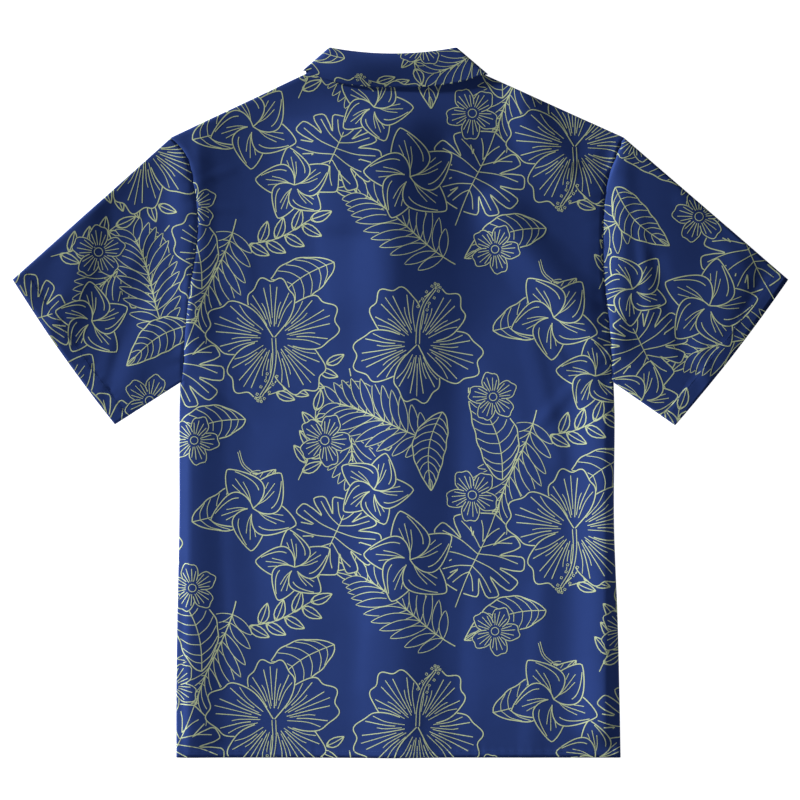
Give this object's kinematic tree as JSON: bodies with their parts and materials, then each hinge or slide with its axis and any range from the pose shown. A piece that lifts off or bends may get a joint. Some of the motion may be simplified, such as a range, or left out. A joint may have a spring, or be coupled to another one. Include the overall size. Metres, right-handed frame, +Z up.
{
  "type": "hawaiian shirt",
  "caption": "Short-sleeved flower-print shirt with a turned-down collar, laid flat on its buttoned front with the back facing up.",
  "frame": {"origin": "on the surface that the shirt lies on, under the middle of its outline", "axes": "+X across the shirt from the wearer's left sleeve to the right one, +Y from hem to collar, +Z up out of the shirt's back"},
  "size_m": [0.8214, 0.7515, 0.0098],
  "materials": {
    "cloth": "smooth woven cloth with a soft sheen, blue with a pale outline print of flowers and leaves",
    "button": "smooth dark blue resin",
    "print": "pale printed lines, flush with the cloth",
    "thread": "blue sewing thread"
  },
  "bodies": {
    "root": {"back": "cloth", "front_left": "cloth", "front_right": "cloth", "sleeve_left": "cloth", "sleeve_right": "cloth", "collar": "cloth", "button_1": "button", "button_2": "button", "button_3": "button", "button_4": "button", "button_5": "button", "button_6": "button"}
  },
  "joints": []
}
